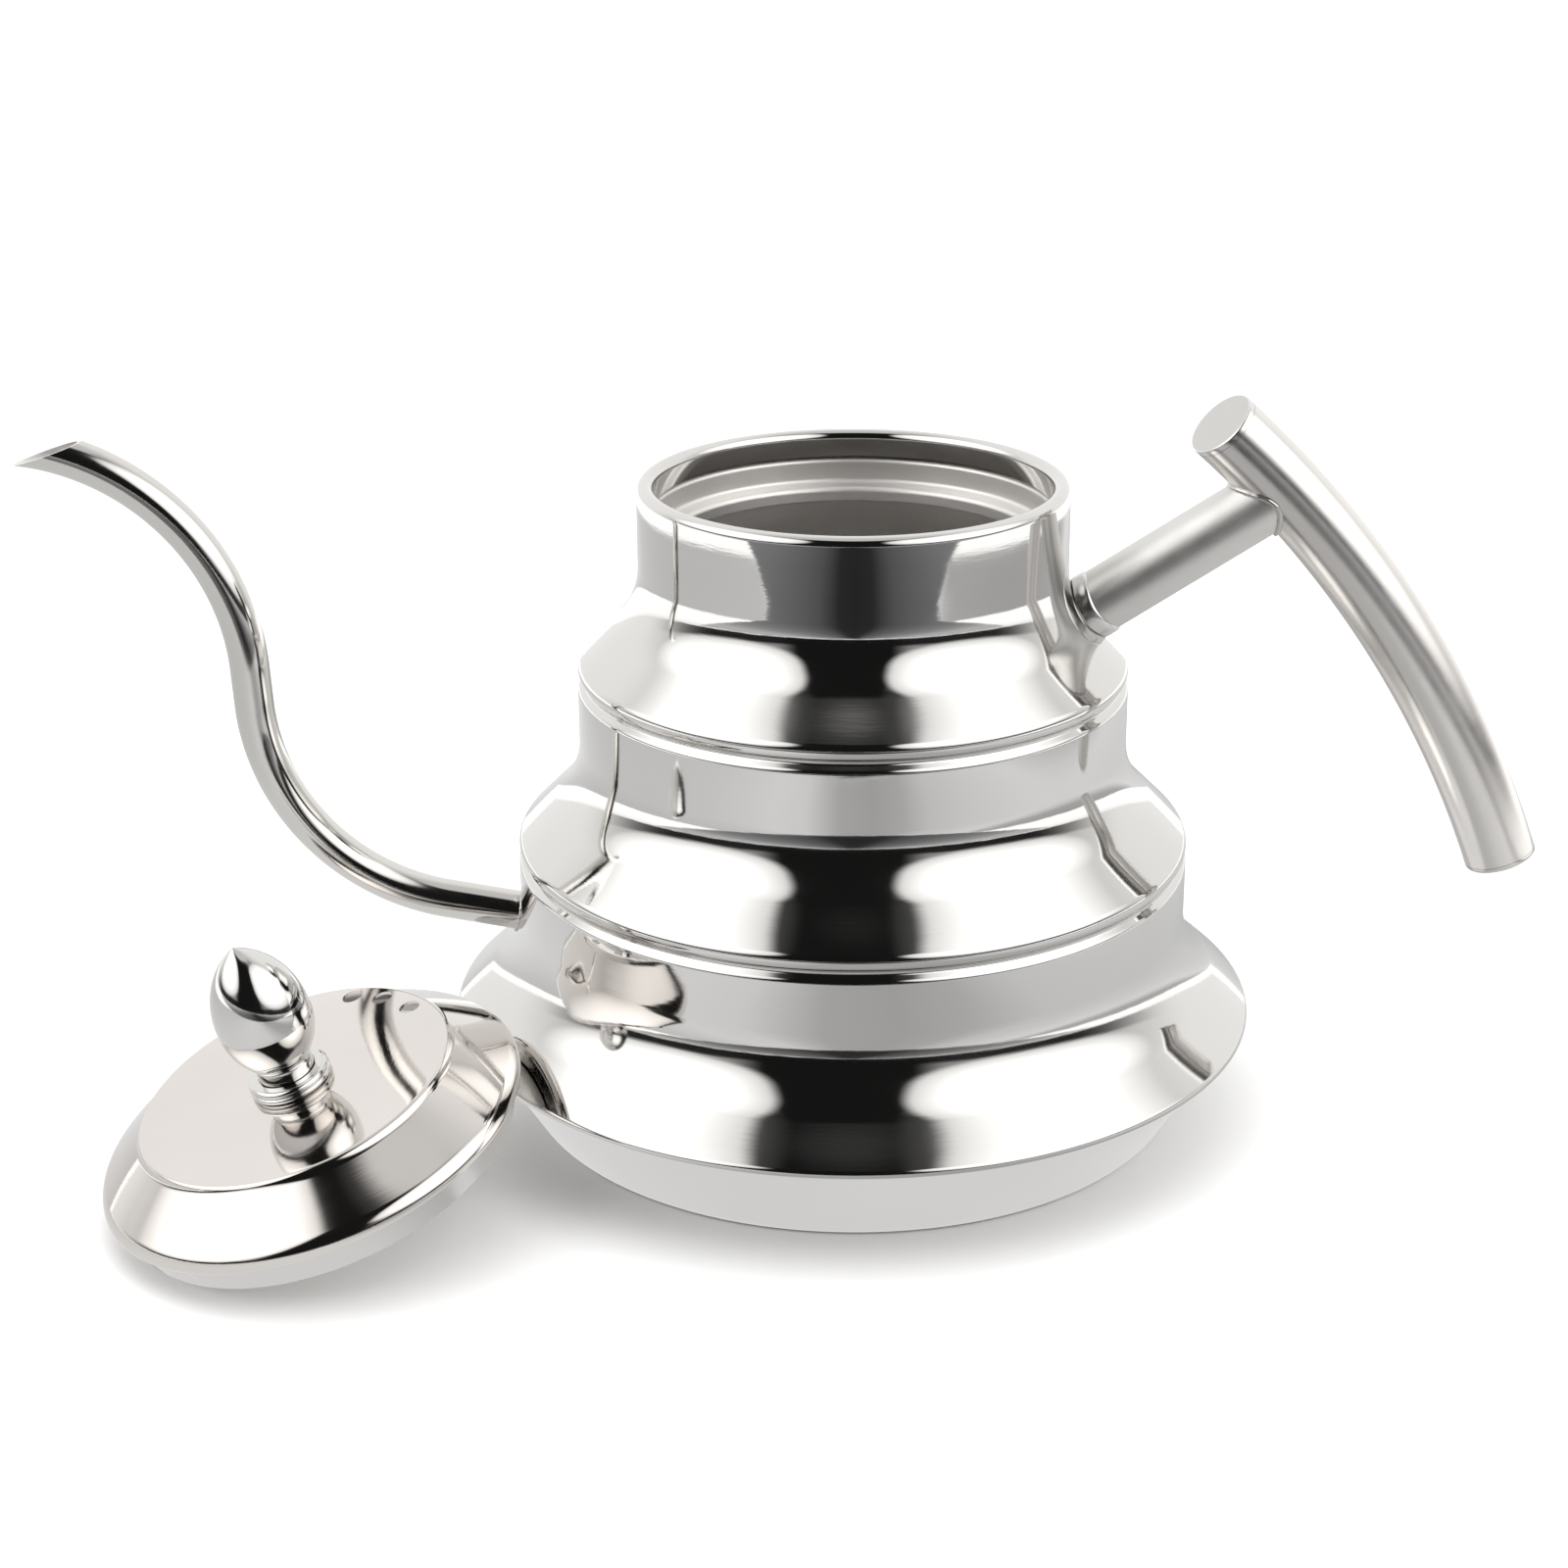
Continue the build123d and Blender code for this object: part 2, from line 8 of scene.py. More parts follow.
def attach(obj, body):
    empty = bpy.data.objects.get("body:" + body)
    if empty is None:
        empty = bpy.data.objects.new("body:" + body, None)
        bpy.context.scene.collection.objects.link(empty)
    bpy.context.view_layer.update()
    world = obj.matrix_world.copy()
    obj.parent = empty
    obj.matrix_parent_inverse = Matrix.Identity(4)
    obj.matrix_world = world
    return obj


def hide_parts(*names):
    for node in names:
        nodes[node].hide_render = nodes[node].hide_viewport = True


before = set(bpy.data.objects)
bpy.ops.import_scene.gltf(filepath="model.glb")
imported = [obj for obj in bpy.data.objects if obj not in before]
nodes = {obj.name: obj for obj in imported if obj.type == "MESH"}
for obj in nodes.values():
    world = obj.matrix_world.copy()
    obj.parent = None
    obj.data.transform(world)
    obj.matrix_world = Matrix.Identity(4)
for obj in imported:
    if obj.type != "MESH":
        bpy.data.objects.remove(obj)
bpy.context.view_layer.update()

MM = 0.001


# ------------------------------------------------------------------ tracks
class Track:
    """Tangent lines and arcs in a plane, in millimetres. sample(d) gives points
    on the chain shifted by d to its left."""

    def __init__(self, p, heading):
        self.p = (float(p[0]), float(p[1]))
        self.h = math.radians(heading)
        self.segs = []

    def line(self, length):
        h = self.h
        q = (self.p[0] + length * math.cos(h), self.p[1] + length * math.sin(h))
        self.segs.append(("L", self.p, h, length))
        self.p = q
        return self

    def arc(self, radius, turn):
        s = 1.0 if turn > 0 else -1.0
        t = math.radians(turn)
        n = (-math.sin(self.h), math.cos(self.h))
        c = (self.p[0] + s * radius * n[0], self.p[1] + s * radius * n[1])
        self.segs.append(("A", c, self.h, radius, s, t))
        h1 = self.h + t
        self.p = (c[0] + s * radius * math.sin(h1), c[1] - s * radius * math.cos(h1))
        self.h = h1
        return self

    def length(self):
        return sum(g[3] if g[0] == "L" else g[3] * abs(g[5]) for g in self.segs)

    def at(self, dist, d=0.0):
        """Point and heading at a distance along the chain, shifted by d."""
        for i, g in enumerate(self.segs):
            size = g[3] if g[0] == "L" else g[3] * abs(g[5])
            if dist <= size or i == len(self.segs) - 1:
                if g[0] == "L":
                    h = g[2]
                    p = (g[1][0] + dist * math.cos(h), g[1][1] + dist * math.sin(h))
                else:
                    h = g[2] + g[4] * dist / g[3]
                    p = (g[1][0] + g[4] * g[3] * math.sin(h), g[1][1] - g[4] * g[3] * math.cos(h))
                return (p[0] - d * math.sin(h), p[1] + d * math.cos(h)), h
            dist -= size

    def sample(self, d=0.0, first=0, max_deg=2.5, max_len=4.0):
        out = []
        for g in self.segs[first:]:
            if g[0] == "L":
                n = max(1, math.ceil(g[3] / max_len))
                pts = [((g[1][0] + g[3] * k / n * math.cos(g[2]) - d * math.sin(g[2])),
                        (g[1][1] + g[3] * k / n * math.sin(g[2]) + d * math.cos(g[2]))) for k in range(n + 1)]
            else:
                _, c, h0, r, s, t = g
                n = max(2, math.ceil(abs(math.degrees(t)) / max_deg), math.ceil(r * abs(t) / max_len))
                pts = []
                for k in range(n + 1):
                    h = h0 + t * k / n
                    pts.append((c[0] + s * r * math.sin(h) - d * math.sin(h), c[1] - s * r * math.cos(h) + d * math.cos(h)))
            for p in pts:
                if not out or math.dist(out[-1], p) > 1e-4:
                    out.append(p)
        return out


# ------------------------------------------------------------------ meshes
def finish_mesh(name, bm, materials, body, matrix=None, sharp=32.0, replaces=()):
    bmesh.ops.recalc_face_normals(bm, faces=bm.faces)
    me = bpy.data.meshes.new(name)
    bm.to_mesh(me)
    bm.free()
    for m in materials:
        me.materials.append(m)
    me.polygons.foreach_set("use_smooth", [True] * len(me.polygons))
    me.set_sharp_from_angle(angle=math.radians(sharp))
    o = bpy.data.objects.new(name, me)
    bpy.context.scene.collection.objects.link(o)
    if matrix is not None:
        o.matrix_world = matrix
    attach(o, body)
    if replaces:
        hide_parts(*replaces)
    return o


def lathe(bm, outline, n=288, closed=True, index=None):
    """Turns a list of (radius, height) points, in mm, about Z. index gives the
    material index for each span of the outline."""
    rings = []
    for r, z in outline:
        if r < 1e-5:
            rings.append([bm.verts.new((0, 0, z * MM))])
        else:
            rings.append([bm.verts.new((r * MM * math.cos(2 * math.pi * k / n), r * MM * math.sin(2 * math.pi * k / n), z * MM))
                          for k in range(n)])
    count = len(rings) if closed else len(rings) - 1
    for i in range(count):
        a, b = rings[i], rings[(i + 1) % len(rings)]
        if len(a) == 1 and len(b) == 1:
            continue
        for k in range(n):
            j = (k + 1) % n
            if len(a) == 1:
                f = bm.faces.new((a[0], b[j], b[k]))
            elif len(b) == 1:
                f = bm.faces.new((a[k], a[j], b[0]))
            else:
                f = bm.faces.new((a[k], a[j], b[j], b[k]))
            if index is not None:
                f.material_index = index[i]
    return rings


def sheet_outline(track, thickness, inner_index=1, first=0):
    a = track.sample(0.0, first)
    b = track.sample(thickness, first)[::-1]
    idx = [0] * (len(a) - 1) + [0] + [inner_index] * (len(b) - 1) + [0]
    return a + b, idx


def skin(bm, rings, closed=False, index=0):
    """Quads between rings of equal length; rings are lists of vertices."""
    count = len(rings) if closed else len(rings) - 1
    for i in range(count):
        a, b = rings[i], rings[(i + 1) % len(rings)]
        for k in range(len(a)):
            j = (k + 1) % len(a)
            f = bm.faces.new((a[k], a[j], b[j], b[k]))
            f.material_index = index


def ring_verts(bm, points):
    return [bm.verts.new(Vector(p) * MM) for p in points]


# ------------------------------------------------------------------ materials
def new_material(name):
    m = bpy.data.materials.new(name)
    m.use_nodes = True
    nt = m.node_tree
    for n in list(nt.nodes):
        nt.nodes.remove(n)
    out = nt.nodes.new("ShaderNodeOutputMaterial")
    bsdf = nt.nodes.new("ShaderNodeBsdfPrincipled")
    nt.links.new(bsdf.outputs[0], out.inputs[0])
    return m, nt, bsdf


def math_node(nt, op, a, b=None):
    n = nt.nodes.new("ShaderNodeMath")
    n.operation = op
    for i, v in enumerate((a, b)):
        if v is None:
            continue
        if isinstance(v, (int, float)):
            n.inputs[i].default_value = v
        else:
            nt.links.new(v, n.inputs[i])
    return n.outputs[0]


def steel(name, colour, rough, rough_spread, line_bump=0.0, grain_bump=0.0, grain_scale=900.0, stain=0.03, turned=True, wavy=0.0):
    """Stainless steel: tint drifts slowly, roughness follows polishing smears,
    bump carries fine lines round the turned surface and a blasted grain."""
    m, nt, bsdf = new_material(name)
    L = nt.links
    bsdf.inputs["Metallic"].default_value = 1.0
    tc = nt.nodes.new("ShaderNodeTexCoord")
    sep = nt.nodes.new("ShaderNodeSeparateXYZ")
    L.new(tc.outputs["Object"], sep.inputs[0])
    # slow tint
    big = nt.nodes.new("ShaderNodeTexNoise")
    big.inputs["Scale"].default_value = 22.0
    big.inputs["Detail"].default_value = 3.0
    L.new(tc.outputs["Object"], big.inputs["Vector"])
    ramp = nt.nodes.new("ShaderNodeValToRGB")
    ramp.color_ramp.elements[0].position = 0.3
    ramp.color_ramp.elements[1].position = 0.7
    ramp.color_ramp.elements[0].color = (*[c * (1 - stain) for c in colour], 1)
    ramp.color_ramp.elements[1].color = (*[min(1.0, c * (1 + stain * 0.6)) for c in colour], 1)
    L.new(big.outputs["Fac"], ramp.inputs[0])
    L.new(ramp.outputs[0], bsdf.inputs["Base Color"])
    # polishing coordinates: radius, angle, height
    if turned:
        rr = math_node(nt, "SQRT", math_node(nt, "ADD", math_node(nt, "MULTIPLY", sep.outputs[0], sep.outputs[0]),
                                             math_node(nt, "MULTIPLY", sep.outputs[1], sep.outputs[1])))
        ang = math_node(nt, "ARCTAN2", sep.outputs[1], sep.outputs[0])
        comb = nt.nodes.new("ShaderNodeCombineXYZ")
        L.new(rr, comb.inputs[0])
        L.new(math_node(nt, "MULTIPLY", ang, 0.004), comb.inputs[1])
        L.new(sep.outputs[2], comb.inputs[2])
        vec = comb.outputs[0]
    else:
        vec = tc.outputs["Object"]
    smear = nt.nodes.new("ShaderNodeTexNoise")
    smear.inputs["Scale"].default_value = 260.0
    smear.inputs["Detail"].default_value = 4.0
    L.new(vec, smear.inputs["Vector"])
    rmap = nt.nodes.new("ShaderNodeMapRange")
    rmap.inputs["From Min"].default_value = 0.3
    rmap.inputs["From Max"].default_value = 0.7
    rmap.inputs["To Min"].default_value = max(0.01, rough - rough_spread)
    rmap.inputs["To Max"].default_value = rough + rough_spread
    mixn = math_node(nt, "ADD", math_node(nt, "MULTIPLY", smear.outputs["Fac"], 0.5), math_node(nt, "MULTIPLY", big.outputs["Fac"], 0.5))
    L.new(mixn, rmap.inputs["Value"])
    L.new(rmap.outputs[0], bsdf.inputs["Roughness"])
    last = None
    if line_bump > 0:
        lines = nt.nodes.new("ShaderNodeTexNoise")
        lines.inputs["Scale"].default_value = 2600.0
        lines.inputs["Detail"].default_value = 2.0
        L.new(vec, lines.inputs["Vector"])
        b = nt.nodes.new("ShaderNodeBump")
        b.inputs["Strength"].default_value = line_bump
        b.inputs["Distance"].default_value = 0.00002
        L.new(lines.outputs["Fac"], b.inputs["Height"])
        last = b
    if grain_bump > 0:
        g = nt.nodes.new("ShaderNodeTexNoise")
        g.inputs["Scale"].default_value = grain_scale
        g.inputs["Detail"].default_value = 3.0
        L.new(tc.outputs["Object"], g.inputs["Vector"])
        b = nt.nodes.new("ShaderNodeBump")
        b.inputs["Strength"].default_value = grain_bump
        b.inputs["Distance"].default_value = 0.00004
        L.new(g.outputs["Fac"], b.inputs["Height"])
        if last is not None:
            L.new(last.outputs[0], b.inputs["Normal"])
        last = b
    if wavy > 0:
        g = nt.nodes.new("ShaderNodeTexNoise")
        g.inputs["Scale"].default_value = 38.0
        g.inputs["Detail"].default_value = 1.0
        L.new(tc.outputs["Object"], g.inputs["Vector"])
        b = nt.nodes.new("ShaderNodeBump")
        b.inputs["Strength"].default_value = 1.0
        b.inputs["Distance"].default_value = wavy
        L.new(g.outputs["Fac"], b.inputs["Height"])
        if last is not None:
            L.new(last.outputs[0], b.inputs["Normal"])
        last = b
    if last is not None:
        L.new(last.outputs[0], bsdf.inputs["Normal"])
    return m


POLISHED = steel("polished_body", (0.71, 0.70, 0.685), 0.055, 0.025, line_bump=0.10, wavy=0.00006)
POLISHED_TUBE = steel("polished_tube", (0.70, 0.685, 0.66), 0.10, 0.04, turned=False, grain_bump=0.03, wavy=0.00002)
INTERIOR = steel("brushed_interior", (0.85, 0.83, 0.81), 0.5, 0.07, line_bump=0.7)
SATIN = steel("satin_pan", (0.73, 0.72, 0.705), 0.22, 0.06, line_bump=0.35, grain_bump=0.06)
BLASTED = steel("blasted_arm", (0.73, 0.72, 0.70), 0.40, 0.06, turned=False, grain_bump=0.55, grain_scale=2600.0)
CUT_EDGE = steel("ground_edge", (0.80, 0.79, 0.78), 0.20, 0.05, turned=False, grain_bump=0.1)
WELD = steel("weld_metal", (0.62, 0.61, 0.59), 0.30, 0.08, turned=False, grain_bump=0.4, grain_scale=1500.0)
CAP_FACE = steel("ground_cap", (0.63, 0.62, 0.605), 0.34, 0.05, turned=False, grain_bump=0.35, grain_scale=2200.0)
LID_STEEL = steel("polished_lid", (0.755, 0.72, 0.69), 0.06, 0.03, line_bump=0.12, stain=0.05, wavy=0.00005)
GRIP_STEEL = steel("polished_grip", (0.82, 0.795, 0.77), 0.22, 0.05, turned=False, grain_bump=0.03)
KNOB_STEEL = steel("polished_knob", (0.72, 0.71, 0.695), 0.07, 0.03, grain_bump=0.10, turned=False)

# ------------------------------------------------------------------ body shell
SHEET, PAN_SHEET, LID_SHEET = 0.7, 0.8, 0.6
MOUTH_R, NECK_R, LIP_Z, HEM_Z = 37.0, 40.4, 122.4, 119.0
LIP_R = (NECK_R - MOUTH_R) / 2
TIER1_R, TIER2_R = 52.2, 64.4
SEAM_R, SEAM_CURVE = 77.5, 1.2

body = Track((MOUTH_R, HEM_Z), 90)
body.line(LIP_Z - HEM_Z)
body.arc(LIP_R, -180)
body.line(LIP_Z - 108.4)


def flare_to(track, r_max, curve, slope, roll, inward, next_r):
    track.arc(curve, slope)
    gain = (r_max - roll * (1 - math.cos(math.radians(slope)))) - track.p[0]
    track.line(gain / math.sin(math.radians(slope)))
    track.arc(roll, -(slope + inward))
    track.arc(0.6, inward + 45)
    need = next_r - 1.2 * (1 - math.cos(math.radians(45))) - track.p[0]
    if need > 0:
        track.line(need / math.sin(math.radians(45)))
    track.arc(1.2, -45)


flare_to(body, TIER1_R - 0.1, 17.0, 45.0, 2.2, 50, TIER1_R)
body.line(body.p[1] - 74.3)
flare_to(body, TIER2_R - 0.1, 17.0, 45.0, 2.2, 50, TIER2_R)
body.line(body.p[1] - 40.7)
body.arc(19.0, 48.0)
gain = (SEAM_R - SEAM_CURVE * (1 - math.cos(math.radians(48.0)))) - body.p[0]
body.line(gain / math.sin(math.radians(48.0)))
body.arc(SEAM_CURVE, -(48.0 + 90))
SEAM_LOW = body.p[1]
body.line(1.0)

bm = bmesh.new()
outline, idx = sheet_outline(body, -SHEET)
lathe(bm, outline, n=360, index=idx)
finish_mesh("body_skin", bm, [POLISHED, INTERIOR], "kettle", replaces=[n for n in nodes if n.startswith("body_")])

# ------------------------------------------------------------------ lid seat
seat = Track((MOUTH_R + 1.35, LIP_Z + 0.2), -90)
seat.line(3.3)
seat.arc(0.8, -60)
seat.line(0.1)
seat.arc(0.8, 60)
seat_shift = seat.p[0] - (MOUTH_R + 0.05)
seat = Track((MOUTH_R + 1.35, LIP_Z + 0.2), -90)
seat.line(3.3)
seat.arc(0.8, -60)
seat.line(0.1 + seat_shift / math.sin(math.radians(60)))
seat.arc(0.8, 60)
seat.line(seat.p[1] - 114.6)
seat.arc(0.9, -80)
seat.line(1.3)
seat.arc(1.1, 80)
seat.line(1.6)
bm = bmesh.new()
outline, idx = sheet_outline(seat, 0.55, inner_index=0)
lathe(bm, outline, n=288, index=idx)
finish_mesh("seat_ring", bm, [INTERIOR], "kettle", replaces=("lid_seat_ring",))

# ------------------------------------------------------------------ base pan
wall_h = 238.0
pan = Track((SEAM_R - 1.75, SEAM_LOW + SHEET + 0.06), 180)
pan.line(0.30)
pan.arc(0.9, wall_h - 180)
drop_roll = 4.5 * (1 - math.cos(math.radians(wall_h - 180)))
pan.line((pan.p[1] - drop_roll) / abs(math.sin(math.radians(wall_h))))
pan.arc(4.5, -(wall_h - 180))
pan.line(pan.p[0])
a = pan.sample(0.0)
b = pan.sample(-PAN_SHEET)
a[-1] = (0.0, a[-1][1])
b[-1] = (0.0, b[-1][1])
bm = bmesh.new()
lathe(bm, a + b[::-1], n=288, index=[0] * len(a) + [1] * len(b))
finish_mesh("pan", bm, [SATIN, INTERIOR], "kettle", replaces=("base_pan",))

# ------------------------------------------------------------------ spout
OD, ID = 7.6, 6.4
sp = Track((63.2, 36.46), 9.85)
sp.line(16.2)
sp.arc(43.0, 87.1 - 9.85)
sp.line(7.6)
sp.arc(45.8, 8.0 - 87.1)
sp.line(12.0)
SP_LEN = sp.length()
LOW, HIGH = (157.2, 126.5), (144.9, 130.7)
cut_n = (-(HIGH[1] - LOW[1]), (HIGH[0] - LOW[0]))
if cut_n[1] < 0:
    cut_n = (-cut_n[0], -cut_n[1])
cl = math.hypot(*cut_n)
cut_n = (cut_n[0] / cl, cut_n[1] / cl)


def fibre(dist, phi, radius):
    """Point on the tube's skin; phi 0 is the side away from the kettle's top."""
    (x, z), h = sp.at(min(dist, SP_LEN))
    if dist > SP_LEN:
        x += (dist - SP_LEN) * math.cos(h)
        z += (dist - SP_LEN) * math.sin(h)
    off = radius * math.cos(phi)
    return (-(x - off * math.sin(h)), radius * math.sin(phi), z + off * math.cos(h)), (x - off * math.sin(h), z + off * math.cos(h))


def cut_at(phi, radius):
    lo, hi = SP_LEN - 14.0, SP_LEN + 14.0
    for _ in range(50):
        mid = (lo + hi) / 2
        q = fibre(mid, phi, radius)[1]
        if (q[0] - LOW[0]) * cut_n[0] + (q[1] - LOW[1]) * cut_n[1] > 0:
            hi = mid
        else:
            lo = mid
    # upper fibres leave through the plane earlier, lower ones later
    return lo


def cut_at_side(phi, radius):
    """First distance at which the fibre is on the far side of the slanted cut."""
    step = 0.25
    d = SP_LEN - 26.0
    inside = None
    while d < SP_LEN + 14.0:
        q = fibre(d, phi, radius)[1]
        v = (q[0] - LOW[0]) * cut_n[0] + (q[1] - LOW[1]) * cut_n[1]
        if inside is not None and v > 0 >= inside:
            lo, hi = d - step, d
            for _ in range(30):
                mid = (lo + hi) / 2
                q = fibre(mid, phi, radius)[1]
                if (q[0] - LOW[0]) * cut_n[0] + (q[1] - LOW[1]) * cut_n[1] > 0:
                    hi = mid
                else:
                    lo = mid
            return lo
        inside = v
        d += step
    return SP_LEN


N = 96
bm = bmesh.new()
S0 = SP_LEN - 30.0
shells = []
for radius in (OD / 2, ID / 2):
    ends = [cut_at_side(2 * math.pi * k / N, radius) for k in range(N)]
    rings = []
    count = 150
    for i in range(count + 1):
        d = S0 * i / count
        rings.append(ring_verts(bm, [fibre(d, 2 * math.pi * k / N, radius)[0] for k in range(N)]))
    for i in range(1, 41):
        f = i / 40
        rings.append(ring_verts(bm, [fibre(S0 + (ends[k] - S0) * f, 2 * math.pi * k / N, radius)[0] for k in range(N)]))
    shells.append(rings)
skin(bm, shells[0], index=0)
skin(bm, shells[1], index=1)
skin(bm, [shells[0][-1], shells[1][-1]], index=2)
skin(bm, [shells[0][0], shells[1][0]], index=0)
finish_mesh("spout", bm, [POLISHED_TUBE, INTERIOR, CUT_EDGE], "kettle", replaces=("spout_tube",))

# ------------------------------------------------------------------ body profile as a function of height
prof = body.sample(0.0, first=2, max_deg=1.0, max_len=0.5)


def wall_radius(z):
    """Outer radius of the body at height z (mm), from the neck down to the seam."""
    best = 0.0
    for (r0, z0), (r1, z1) in zip(prof[:-1], prof[1:]):
        if (z0 - z) * (z1 - z) <= 0 and abs(z1 - z0) > 1e-9:
            best = max(best, r0 + (r1 - r0) * (z - z0) / (z1 - z0))
    return best


def bead(name, path, radius, replaces, seed=0.0, ripple=0.10, sides=14):
    """Closed weld bead along a ring of points, with the ripples of a weld pool."""
    bm = bmesh.new()
    n = len(path)
    rings = []
    for i in range(n):
        p, prev, nxt = (Vector(path[i]), Vector(path[i - 1]), Vector(path[(i + 1) % n]))
        t = (nxt - prev).normalized()
        up = Vector((0.13, 0.21, 0.97))
        u = t.cross(up).normalized()
        v = t.cross(u)
        f = 2 * math.pi * i / n
        r = radius * (1 + ripple * math.sin(23 * f + seed) + 0.5 * ripple * math.sin(51 * f + 2 * seed))
        rings.append(ring_verts(bm, [tuple(p + u * r * math.cos(2 * math.pi * k / sides) + v * r * math.sin(2 * math.pi * k / sides))
                                     for k in range(sides)]))
    skin(bm, rings, closed=True)
    return finish_mesh(name, bm, [WELD], "kettle", sharp=60, replaces=replaces)


# bead where the spout leaves the wall
path = []
hd = math.radians(9.85)
for k in range(144):
    phi = 2 * math.pi * k / 144
    d = -2.0
    while d < 12.0:
        p3 = fibre(max(d, 0.0), phi, OD / 2 + 0.12)[0] if d >= 0 else None
        if p3 is not None and math.hypot(p3[0], p3[1]) > wall_radius(p3[2]) + 0.10:
            break
        d += 0.02
    path.append(p3)
bead("spout_bead", path, 0.34, ("spout_weld",), seed=1.3)

# ------------------------------------------------------------------ grip
GC, GR = (-70.84, -21.67), 208.78
GOD, GWALL, CAP = 13.7, 0.9, 1.2
TOP_DEG, BOT_DEG = 48.52, 19.74
TOP_N = Vector((-0.683, -0.215, 0.697)).normalized()


def grip_point(deg, phi, radius):
    t = math.radians(deg)
    rr = GR + radius * math.cos(phi)
    return Vector((GC[0] + rr * math.cos(t), radius * math.sin(phi), GC[1] + rr * math.sin(t)))


TOP_C = grip_point(TOP_DEG, 0, 0)
BOT_C = grip_point(BOT_DEG, 0, 0)
BOT_N = Vector((math.sin(math.radians(BOT_DEG)), 0, -math.cos(math.radians(BOT_DEG))))


def plane_deg(phi, radius, c, n, offset, lo, hi):
    """Angle along the grip's arc at which this fibre crosses the plane."""
    def f(deg):
        return (grip_point(deg, phi, radius) - c).dot(n) - offset
    fl = f(lo)
    for _ in range(40):
        mid = (lo + hi) / 2
        if (f(mid) > 0) == (fl > 0):
            lo = mid
        else:
            hi = mid
    return (lo + hi) / 2


NG = 128
PH = [2 * math.pi * k / NG for k in range(NG)]
bm = bmesh.new()
shells = []
for radius in (GOD / 2, GOD / 2 - GWALL):
    tops = [plane_deg(p, radius, TOP_C, TOP_N, -CAP, 42.0, 54.0) for p in PH]
    bots = [plane_deg(p, radius, BOT_C, BOT_N, -CAP, 14.0, 26.0) for p in PH]
    rings = []
    for i in range(121):
        f = i / 120
        rings.append(ring_verts(bm, [grip_point(tops[k] + (bots[k] - tops[k]) * f, PH[k], radius) for k in range(NG)]))
    shells.append(rings)
skin(bm, shells[0])
skin(bm, shells[1])
skin(bm, [shells[0][-1], shells[1][-1]])
skin(bm, [shells[0][0], shells[1][0]])
finish_mesh("grip_tube", bm, [GRIP_STEEL], "kettle", replaces=("handle_grip",))


def grip_cap(name, c, n, lo, hi, round_r, materials, node):
    R = GOD / 2
    bm = bmesh.new()
    rings = []

    def ring_at(offset, radius_scale):
        pts = []
        for p in PH:
            d = plane_deg(p, R, c, n, offset, lo, hi)
            q = grip_point(d, p, R)
            centre = c + n * offset
            pts.append(tuple(centre + (q - centre) * radius_scale))
        return ring_verts(bm, pts)

    rings.append(ring_at(-CAP + 0.06, 1.0))
    rings.append(ring_at(-round_r, 1.0))
    for k in range(1, 9):
        a = math.radians(90 * k / 8)
        rings.append(ring_at(-round_r + round_r * math.sin(a), (R - round_r * (1 - math.cos(a))) / R))
    side = len(rings) - 1
    for f in (0.8, 0.6, 0.4, 0.2, 0.06):
        rings.append(ring_at(0.0, f * (R - round_r) / R))
    skin(bm, rings[: side + 1], index=0)
    skin(bm, rings[side:], index=1)
    mid = bm.faces.new(rings[-1])
    mid.material_index = 1
    under = [ring_at(-CAP + 0.06, f) for f in (0.7, 0.4, 0.1)]
    skin(bm, [rings[0]] + under, index=0)
    bm.faces.new(under[-1])
    return finish_mesh(name, bm, materials, "kettle", sharp=50, replaces=(node,))


grip_cap("grip_end_top", TOP_C, TOP_N, 42.0, 54.0, 0.35, [CUT_EDGE, CAP_FACE], "grip_cap_top")
grip_cap("grip_end_bottom", BOT_C, BOT_N, 14.0, 26.0, 0.7, [POLISHED_TUBE, POLISHED_TUBE], "grip_cap_bottom")

# ------------------------------------------------------------------ arm, saddle
AOD = 12.2
A0 = Vector((45.9, 0, 100.2))
AD = Vector((73.8 - 45.9, 0, 118.3 - 100.2)).normalized()
AU = Vector((-AD.z, 0, AD.x))      # up, across the arm
AV = Vector((0, 1, 0))


def arm_point(t, phi, radius):
    return A0 + AD * t + AU * (radius * math.cos(phi)) + AV * (radius * math.sin(phi))


def leave_body(phi, radius):
    t = 20.0
    while t > -12.0:
        p = arm_point(t, phi, radius)
        if math.hypot(p.x, p.y) < wall_radius(p.z):
            lo, hi = t, t + 0.1
            for _ in range(25):
                mid = (lo + hi) / 2
                q = arm_point(mid, phi, radius)
                if math.hypot(q.x, q.y) < wall_radius(q.z):
                    lo = mid
                else:
                    hi = mid
            return hi
        t -= 0.1
    return t


def meet_grip(phi, radius, clear=0.0):
    t = 15.0
    while t < 45.0:
        p = arm_point(t, phi, radius)
        dx, dz = p.x - GC[0], p.z - GC[1]
        d = math.hypot(math.hypot(dx, dz) - GR, p.y)
        if d < GOD / 2 + clear:
            return t
        t += 0.02
    return t


NA = 120
AP = [2 * math.pi * k / NA for k in range(NA)]
body_t = [leave_body(p, AOD / 2) for p in AP]
grip_t = [meet_grip(p, AOD / 2, 0.0) for p in AP]
bm = bmesh.new()
rings = []
for i in range(61):
    f = i / 60
    rings.append(ring_verts(bm, [arm_point(body_t[k] + 3.2 + (grip_t[k] - body_t[k] - 3.2) * f, AP[k], AOD / 2) for k in range(NA)]))
inner = []
for i in range(2):
    f = i
    inner.append(ring_verts(bm, [arm_point(body_t[k] + 3.2 + (grip_t[k] - body_t[k] - 3.2) * f, AP[k], AOD / 2 - 1.0) for k in range(NA)]))
skin(bm, rings)
skin(bm, inner)
skin(bm, [rings[0], inner[0]])
skin(bm, [rings[-1], inner[-1]])
